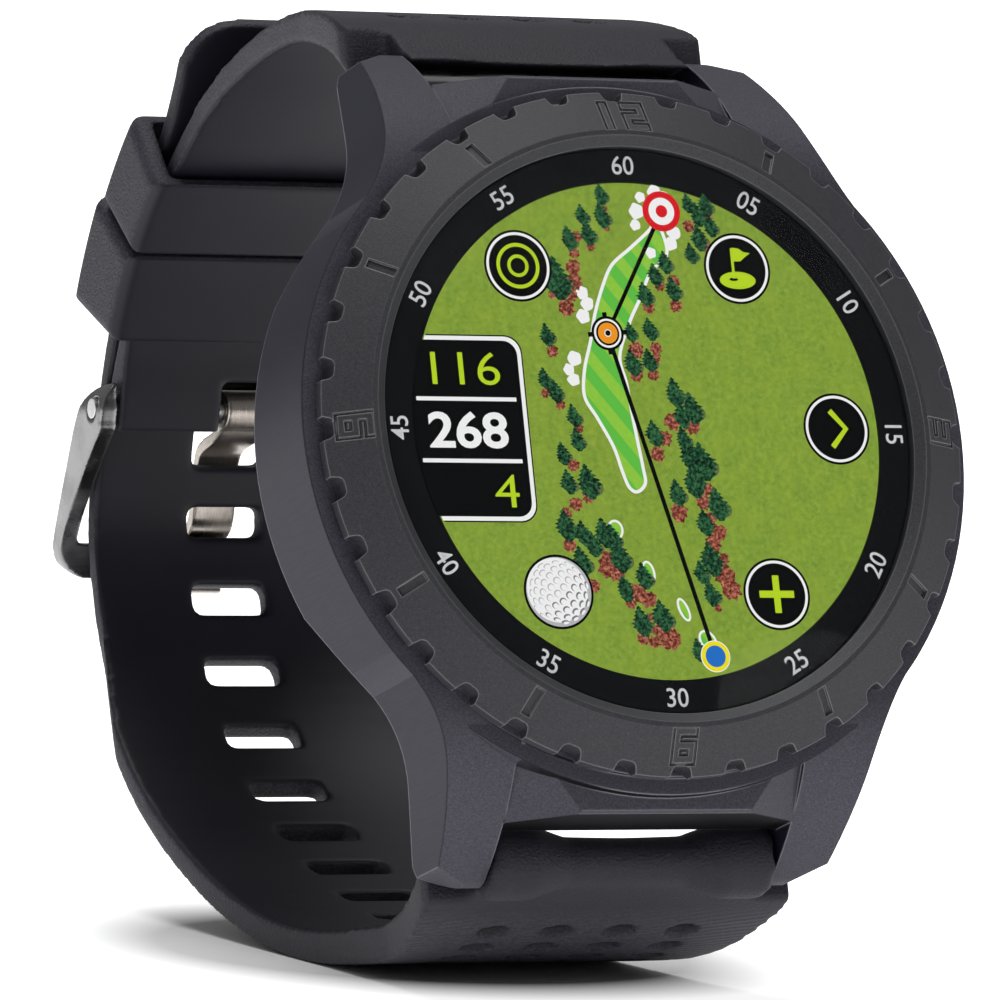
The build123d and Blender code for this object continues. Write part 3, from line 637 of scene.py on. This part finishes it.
def route():
    """The aim line from the tee to the green, with a round marker at each end and a target on the way."""
    sheet = Print("route_markers")
    target, aim, tee = (2.6, 15.6), (-2.5, 6.8), (3.2, -16.0)
    sheet.line([target, aim, tee], 0.32, 7, BLACK)
    for radius, layer, paint in ((1.44, 8, RED), (0.98, 9, WHITE), (0.44, 10, RED)):
        sheet.disc(target, radius, layer, paint)
    for k in range(4):
        a = math.radians(90 * k + 4)
        end = (aim[0] + 1.5 * math.cos(a), aim[1] + 1.5 * math.sin(a))
        sheet.line([aim, end], 0.34, 8 + 0.1 * k, BLACK)
    for radius, layer, paint in ((1.22, 9, BLACK), (1.03, 10, WHITE), (0.88, 11, BLACK), (0.74, 12, ORANGE),
                                 (0.26, 13, WHITE), (0.20, 14, BLACK)):
        sheet.disc(aim, radius, layer, paint)
    for radius, layer, paint in ((1.12, 8, WHITE), (1.06, 9, YELLOW), (0.76, 10, BLUE)):
        sheet.disc(tee, radius, layer, paint)
    sheet.finish()


def icons():
    """Four round buttons on the map: rings, a flag, a chevron and a plus."""
    sheet = Print("map_icons")
    rings, flag, chevron, plus = (-8.8, 11.5), (8.0, 11.6), (14.4, 0.2), (8.4, -11.6)
    for x, y in (rings, flag, chevron, plus):
        sheet.disc((x, y), ICON_R, 7, BLACK, count=72)
        sheet.ring((x, y), ICON_R - 0.17, ICON_R - 0.36, 8, WHITE)
    sheet.ring(rings, 1.62, 1.36, 8, LIME)
    sheet.ring(rings, 0.80, 0.56, 8, LIME)
    x, y = flag
    sheet.hoop(oval((x - 0.05, y - 0.85), (1.38, 0.62)), oval((x - 0.35, y - 0.78), (0.34, 0.12)), 8, LIME)
    sheet.line([(x - 0.32, y + 1.45), (x - 0.32, y - 0.72)], 0.2, 9, LIME)
    flying = [(x - 0.25, y + 1.5), (x + 0.25, y + 1.42), (x + 0.6, y + 1.18), (x + 1.1, y + 1.12),
              (x + 0.7, y + 0.85), (x + 0.3, y + 0.52), (x - 0.25, y + 0.5)]
    sheet.slab(flying, 10, LIME)
    x, y = chevron
    sheet.line([(x - 0.42, y + 1.3), (x + 0.72, y + 0.02), (x - 0.42, y - 1.3)], 0.40, 8, LIME)
    x, y = plus
    sheet.line([(x - 1.33, y), (x + 1.33, y)], 0.50, 8, LIME)
    sheet.line([(x, y + 1.33), (x, y - 1.33)], 0.50, 8.6, LIME)
    sheet.finish()


def golf_ball():
    """A dimpled ball: rows of shaded crescents, deepest towards its lower right."""
    sheet = Print("ball_icon")
    x0, y0 = BALL
    sheet.disc(BALL, BALL_R + 0.18, 7, BLACK, count=72)
    sheet.disc(BALL, BALL_R, 8, PALE, count=72)
    sheet.disc((x0 - 0.12, y0 + 0.12), BALL_R - 0.17, 9, WHITE, count=72)
    tilt = Matrix.Rotation(math.radians(40), 3, "X") @ Matrix.Rotation(math.radians(-38), 3, "Y")
    rows = 11
    reach = BALL_R - 0.08           # how far out the dimples are drawn
    size = 0.27                     # a dimple's radius
    for i in range(1, rows):
        lift = math.pi * i / rows
        around = max(4, round(2 * rows * math.sin(lift)))
        for k in range(around):
            turn = math.tau * (k + 0.5 * (i % 2)) / around
            out = math.sin(lift)
            p = tilt @ Vector((out * math.cos(turn), out * math.sin(turn), math.cos(lift)))
            at = (x0 + reach * p.x, y0 + reach * p.y)
            if p.z < 0.30 or math.hypot(at[0] - x0, at[1] - y0) > BALL_R - 0.24:
                continue
            flat = size * max(0.35, p.z)
            lean = math.degrees(math.atan2(p.y, p.x))
            deep = 0.35 + 0.65 * max(0.0, (p.x - p.y) / 1.4)
            shifted = (at[0] + 0.09 * deep, at[1] - 0.10 * deep)
            sheet.slab(oval(at, (flat, size), lean, 14), 10, GREY if deep > 0.42 else PALE)
            sheet.slab(oval(shifted, (flat * 0.80, size * 0.80), lean, 14), 11, WHITE)
    sheet.finish()


def readout():
    """The yardage panel cut off by the display's left edge."""
    sheet = Print("readout_panel")
    top, low, right, corner = 6.45, -6.55, -9.25, 1.2

    def panel(inset):
        t, b, r, c = top - inset, low + inset, right - inset, corner - inset * 0.6
        rim = DISPLAY_R + 0.6 * inset
        edge = [(-clipped(t, rim), t)]
        for start, cx, cy in ((90, r - c, t - c), (0, r - c, b + c)):
            angles = [math.radians(start - 15 * k) for k in range(7)]
            edge += [(cx + c * math.cos(a), cy + c * math.sin(a)) for a in angles]
        levels = [b + (t - b) * k / 16 for k in range(16)]
        return edge + [(-clipped(level, rim), level) for level in levels]

    sheet.slab(panel(-0.1), 6.6, BLACK)
    sheet.slab(panel(0.0), 7.5, WHITE)
    sheet.slab(panel(0.3), 8.5, BLACK)
    for y in (2.0, -2.35):
        sheet.line([(-clipped(y), y), (right - 0.7, y)], 0.28, 9.5, WHITE)
    sheet.text("116", 3.35, (-13.9, 4.15), 9.5, LIME, weight=-0.012, squeeze=1.22)
    sheet.text("268", 3.45, (-13.8, -0.18), 9.5, WHITE, weight=0.075, squeeze=1.17)
    sheet.text("4", 3.35, (-11.3, -4.45), 9.5, LIME, weight=-0.012, squeeze=1.2)
    sheet.finish()


NUMERAL_MIDDLE = 18.87          # radius at which the minute numerals stand, mm
NUMERAL = Paint("ring_print_white", (0.85, 0.85, 0.86), 0.35)
NUMERAL.where()
NUMERAL.set("Base Color", NUMERAL.mix(NUMERAL.ramp(NUMERAL.noise(8.0), (0.3, 0.0), (0.7, 1.0)),
                                      (0.78, 0.78, 0.79), (0.88, 0.88, 0.89)))


def minute_numerals():
    """05 to 60 round the minute ring, with their feet towards 6 o'clock as far as the ring allows."""
    sheet = Print("minute_numerals")
    for count in range(12):
        minutes = 5 * count or 60
        angle = 90 - 30 * count
        at = (NUMERAL_MIDDLE * math.cos(math.radians(angle)), NUMERAL_MIDDLE * math.sin(math.radians(angle)))
        upright = angle - 90 if minutes in (45, 50, 55, 60, 5, 10, 15) else angle + 90
        sheet.text(f"{minutes:02d}", 1.88, at, 1, NUMERAL, turn=upright, weight=0.01, squeeze=0.95)
    sheet.finish()


GLASS_R = 19.97
GLASS_LOW, GLASS_TOP = 0.26, 0.55


def cover_glass():
    """A clear disc with a polished chamfer, standing just clear of the display."""
    profile = [(0.0, GLASS_LOW), (GLASS_R - 0.02, GLASS_LOW), (GLASS_R, 0.30), (GLASS_R, 0.34),
               (GLASS_R - 0.05, 0.40), (GLASS_R - 0.17, 0.50), (GLASS_R - 0.29, 0.545),
               (GLASS_R - 0.47, GLASS_TOP), (0.0, GLASS_TOP)]
    turns = 192
    around = [(math.cos(math.tau * k / turns), math.sin(math.tau * k / turns)) for k in range(turns)]
    points, faces = [(0, 0, GLASS_LOW)], []
    for r, z in profile[1:-1]:
        points += [(r * c, r * s, z) for c, s in around]
    points.append((0, 0, GLASS_TOP))
    last = len(points) - 1
    top = 1 + (len(profile) - 3) * turns
    for k in range(turns):
        j = (k + 1) % turns
        faces.append((0, 1 + j, 1 + k))
        for row in range(len(profile) - 3):
            a, b = 1 + row * turns, 1 + (row + 1) * turns
            faces.append((a + k, a + j, b + j, b + k))
        faces.append((top + k, top + j, last))
    mesh = bpy.data.meshes.new("glass_lens")
    mesh.from_pydata([tuple(c * MM for c in p) for p in points], [], faces)
    mesh.update()
    for polygon in mesh.polygons:
        polygon.use_smooth = True
    paint = Paint("clear_glass", (0.02, 0.025, 0.03), 0.04, Alpha=0.05, IOR=1.5, Specular_IOR_Level=0.4)
    paint.where()
    paint.set("Roughness", paint.ramp(paint.noise(0.15, 3.0), (0.3, 0.03), (0.7, 0.07)))
    mesh.materials.append(paint.material)
    piece = settle(mesh, "glass_lens", "watch_head")
    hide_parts("cover_glass")


# --- straps, keepers and buckle: the CAD shape remeshed fine, its edges softened, then detailed in code ---
def refined(node, name, body, paint, voxel, passes, detail=None):
    """Stands for a CAD node: voxel is the grid's size in mm, and each pass rounds the edges further."""
    mesh = NODES[node].data.copy()
    mesh.transform(HEAD_INVERSE)
    mesh.materials.clear()
    work = bpy.data.objects.new(name + "_work", mesh)
    bpy.context.scene.collection.objects.link(work)
    weld = work.modifiers.new("weld", "WELD")
    weld.merge_threshold = 0.004 * MM
    grid = work.modifiers.new("grid", "REMESH")
    grid.mode, grid.voxel_size, grid.adaptivity = "VOXEL", voxel * MM, 0.0
    relax = work.modifiers.new("relax", "SMOOTH")
    relax.factor, relax.iterations = 0.5, passes
    bpy.context.view_layer.update()
    done = bpy.data.meshes.new_from_object(work.evaluated_get(bpy.context.evaluated_depsgraph_get()))
    bpy.data.objects.remove(work)
    if detail:
        carve(done, detail)
    done.materials.clear()
    done.materials.append(paint.material)
    for polygon in done.polygons:
        polygon.use_smooth = True
        polygon.material_index = 0
    done.name = name
    piece = settle(done, name, body)
    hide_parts(node)


PIT_DEPTH = 0.75                # how deep the dimples in the strap are, mm


def carve(mesh, detail):
    """Moves points along their normals by detail(points, normals, angle, radius), all in mm and degrees.

    The attribute "pit" keeps how deep each point went, for the painted shade in the dimples."""
    count = len(mesh.vertices)
    points, normals = np.zeros(count * 3, np.float32), np.zeros(count * 3, np.float32)
    mesh.vertices.foreach_get("co", points)
    mesh.vertices.foreach_get("normal", normals)
    points = points.reshape(-1, 3).astype(float) / MM
    normals = normals.reshape(-1, 3).astype(float)
    y, z = points[:, 1] - LOOP[0], points[:, 2] - LOOP[1]
    angle, radius = np.degrees(np.arctan2(z, y)) % 360, np.hypot(y, z)
    moved = detail(points, normals, angle, radius)
    points += normals * moved[:, None]
    pits = mesh.attributes.new("pit", "FLOAT", "POINT")
    pits.data.foreach_set("value", np.clip(-moved / PIT_DEPTH, 0, 1).astype(np.float32))
    mesh.vertices.foreach_set("co", (points * MM).astype(np.float32).ravel())
    mesh.update()


def outward_share(points, normals, radius):
    """1 where the strap's surface faces away from the loop's line, 0 where it doesn't."""
    y, z = points[:, 1] - LOOP[0], points[:, 2] - LOOP[1]
    return np.clip((normals[:, 1] * y + normals[:, 2] * z) / radius, 0, 1)


DIMPLE_COLUMNS = (-7.28, -2.43, 2.43, 7.28)
DIMPLE_HALF = (1.25, 0.85)      # half a dimple's size across and along the strap, mm
DIMPLE_WALL = 2.2               # how quickly a dimple drops to its full depth
DIMPLE_PITCH = 4.2              # degrees round the loop
DIMPLE_ROWS = 7                 # on each strap
LONG_FIRST, SHORT_FIRST = 151.0, 31.5   # degrees round the loop, the rows nearest to the lugs


def dimples(rows):
    """Blind oval dimples in rows across the outside, at these angles round the loop."""
    def cut(points, normals, angle, radius):
        out = outward_share(points, normals, radius)
        depth = np.zeros(len(points))
        for row in rows:
            for column in DIMPLE_COLUMNS:
                across = (points[:, 0] - column) / DIMPLE_HALF[0]
                along = np.radians((angle - row + 180) % 360 - 180) * radius / DIMPLE_HALF[1]
                depth = np.maximum(depth, np.clip(DIMPLE_WALL * (1 - across ** 2 - along ** 2), 0, 1))
        return -PIT_DEPTH * depth * out
    return cut


SWELL = 0.62                    # how much thicker the tongue is towards its sides, mm
SWELL_SIDE = (4.5, 3.0)         # X where the swelling starts, and how far on it is full
TONGUE_BORE, TONGUE_R = 1.3, 2.5    # radii about the spring bar between which the tongue's end lies
TONGUE_FADE = 0.3


def swollen_tongue(points, normals):
    """How far the strap's end swells round the lower spring bar, towards its two sides."""
    y, z = points[:, 1] - BAR[0], points[:, 2] - BAR[1]
    away = np.hypot(y, z)
    outside = np.clip((normals[:, 1] * y + normals[:, 2] * z) / np.maximum(away, 0.1) * 6 - 5, 0, 1)
    near = np.clip((TONGUE_R - away) / TONGUE_FADE, 0, 1) * (away > TONGUE_BORE)
    side = np.clip((np.abs(points[:, 0]) - SWELL_SIDE[0]) / SWELL_SIDE[1], 0, 1)
    return SWELL * outside * near * side


def long_strap_detail(points, normals, angle, radius):
    cut = dimples([LONG_FIRST + DIMPLE_PITCH * k for k in range(DIMPLE_ROWS)])
    return cut(points, normals, angle, radius) + swollen_tongue(points, normals)


# --- the pieces ---
course_map()
route()
icons()
golf_ball()
readout()
minute_numerals()
cover_glass()

strap_paint = rubber_paint("strap_rubber", ribs=True)
keeper_paint = rubber_paint("keeper_rubber", ribs=False)
buckle_paint = steel_paint("buckle_brushed", (0.30, 0.295, 0.30), LINES_ACROSS, 0.26)
tang_paint = steel_paint("tang_steel", (0.50, 0.45, 0.40), LINES_ALONG, 0.34)
short_strap_detail = dimples([SHORT_FIRST - DIMPLE_PITCH * k for k in range(DIMPLE_ROWS)])
refined("long_strap", "long_strap_rubber", "strap_loop", strap_paint, 0.30, 5, long_strap_detail)
refined("short_strap", "short_strap_rubber", "strap_loop", strap_paint, 0.25, 6, short_strap_detail)
refined("sliding_keeper", "sliding_keeper_rubber", "keeper", keeper_paint, 0.24, 4)
refined("fixed_keeper", "fixed_keeper_rubber", "strap_loop", keeper_paint, 0.24, 4)
refined("buckle_frame", "buckle_frame_polished", "buckle", buckle_paint, 0.16, 5)
refined("buckle_tang", "buckle_tang_polished", "tang", tang_paint, 0.13, 4)


# --- CAD nodes that keep their shape ---
def dress(paint, *names):
    """Gives CAD nodes a material."""
    for name in names:
        mesh = NODES[name].data
        mesh.materials.clear()
        mesh.materials.append(paint.material)


def gloss_black():
    """The minute ring's gloss, a little uneven."""
    paint = Paint("ring_gloss_black", (0.004, 0.004, 0.005), 0.22, Specular_IOR_Level=0.15)
    paint.where()
    paint.set("Roughness", paint.ramp(paint.noise(0.6), (0.3, 0.16), (0.7, 0.26)))
    paint.bump(paint.noise(9.0), 0.002)
    return paint


spring_bars = [f"{end}_bar_{part}" for end in ("top", "bottom")
               for part in ("tube", "spring", "pin_left", "pin_right")]
dress(case_paint(), "case_body", "button_cap")
dress(bezel_paint(), "bezel")
dress(TURF, "display_panel")
dress(gloss_black(), "minute_ring")
dress(steel_paint("pin_steel", (0.60, 0.60, 0.60), LINES_ACROSS, 0.3), "case_back_screws", "vibration_motor",
      "button_stem", "button_clip", "button_spring", "buckle_bar", *spring_bars)
dress(grained("back_moulded", (0.022, 0.022, 0.024), (0.036, 0.036, 0.038), 0.5, 5.0, 0.02, edge=0.2),
      "case_back")
dress(grained("seal_rubber", (0.012, 0.012, 0.012), (0.022, 0.022, 0.022), 0.6, 4.0, 0.02),
      "glass_gasket", "back_gasket", "button_seal")
dress(grained("inner_moulded", (0.03, 0.03, 0.033), (0.05, 0.05, 0.053), 0.55, 4.0, 0.02),
      "chassis", "tactile_switch")
dress(grained("board_green", (0.006, 0.06, 0.02), (0.012, 0.10, 0.035), 0.4, 1.5, 0.01), "main_board")
dress(grained("battery_foil", (0.35, 0.36, 0.37), (0.48, 0.49, 0.5), 0.35, 0.8, 0.03, Metallic=0.6),
      "battery")
dress(grained("antenna_ceramic", (0.55, 0.50, 0.42), (0.66, 0.61, 0.53), 0.6, 3.0, 0.01), "gps_antenna")
dress(grained("flex_film", (0.30, 0.10, 0.015), (0.42, 0.16, 0.03), 0.4, 2.0, 0.006), "display_flex")
dress(grained("contact_gold", (0.72, 0.46, 0.14), (0.85, 0.60, 0.22), 0.25, 5.0, 0.004, Metallic=1.0),
      "charging_contacts")


# --- floor, light and camera ---
FLOOR = 12.0                    # half the floor's side, m
FOOT = (0.052, 0.060)           # scale of the unlit oval under the watch, along X and Y, m


def add_floor():
    """A floor that glows softly, painted light that hides the watch's shadows everywhere but in an oval where
    it stands.
    """
    mesh = bpy.data.meshes.new("floor")
    corners = [(-FLOOR, -FLOOR, 0), (FLOOR, -FLOOR, 0), (FLOOR, FLOOR, 0), (-FLOOR, FLOOR, 0)]
    mesh.from_pydata(corners, [], [(0, 1, 2, 3)])
    floor = bpy.data.objects.new("floor", mesh)
    bpy.context.scene.collection.objects.link(floor)
    paint = Paint("pale_floor", (0.93, 0.93, 0.93), 0.6, Specular_IOR_Level=0.2, Emission_Strength=1.0)
    paint.place = paint.node("TexCoord", output="Object")
    spread = paint.stretched((1 / FOOT[0], 1 / FOOT[1], 0.0))
    distance = paint.node("VectorMath", {0: spread}, output="Value", operation="LENGTH")
    # Painted light: glow everywhere but in the oval under the watch.
    paint.set("Emission Color", paint.ramp(distance, (0.36, 0.0), (0.54, 0.80)))
    mesh.materials.append(paint.material)


def add_key_light():
    """A weak softbox to the left, aimed at the middle of the watch."""
    lamp = bpy.data.lights.new("key_left", "AREA")
    lamp.shape, lamp.size, lamp.size_y = "RECTANGLE", 0.7, 0.9
    lamp.energy = 0.12
    softbox = bpy.data.objects.new("key_left", lamp)
    bpy.context.scene.collection.objects.link(softbox)
    softbox.location = (-0.90, -0.40, 0.80)
    aim = Vector((0, 0, 0.035)) - softbox.location
    softbox.rotation_euler = aim.to_track_quat("-Z", "Y").to_euler()


def add_overhead():
    """A broad sun from nearly straight above, and a white room round it."""
    sky = bpy.data.lights.new("overhead", "SUN")
    sky.energy, sky.angle = 2.25, math.radians(38)
    overhead = bpy.data.objects.new("overhead", sky)
    bpy.context.scene.collection.objects.link(overhead)
    overhead.rotation_euler = (math.radians(-3), math.radians(1), 0)
    world = bpy.data.worlds.new("studio")
    world.use_nodes = True
    room = world.node_tree.nodes["Background"]
    room.inputs["Color"].default_value = (1.0, 1.0, 1.0, 1.0)
    room.inputs["Strength"].default_value = 0.25
    bpy.context.scene.world = world
    bpy.context.scene.view_settings.view_transform = "Standard"


# The camera stands well to the left of the face and above its axis; its place is in the head's axes.
CAMERA = Vector((-301.449, -157.229, 596.705)) * MM
AIM = Vector((-11.886, -5.058, 0.0)) * MM
UP = Vector((-0.0077, 0.96985, 0.24359))


def add_camera():
    back = (CAMERA - AIM).normalized()
    right = UP.cross(back).normalized()
    pose = Matrix((right, back.cross(right), back)).transposed().to_4x4()
    lens = bpy.data.cameras.new("camera")
    lens.lens, lens.sensor_width, lens.sensor_height = 360.0, 36.0, 36.0
    lens.clip_start, lens.clip_end = 0.01, 40.0
    camera = bpy.data.objects.new("camera", lens)
    bpy.context.scene.collection.objects.link(camera)
    camera.matrix_world = HEAD @ Matrix.Translation(CAMERA) @ pose
    bpy.context.scene.camera = camera


add_floor()
add_key_light()
add_overhead()
add_camera()
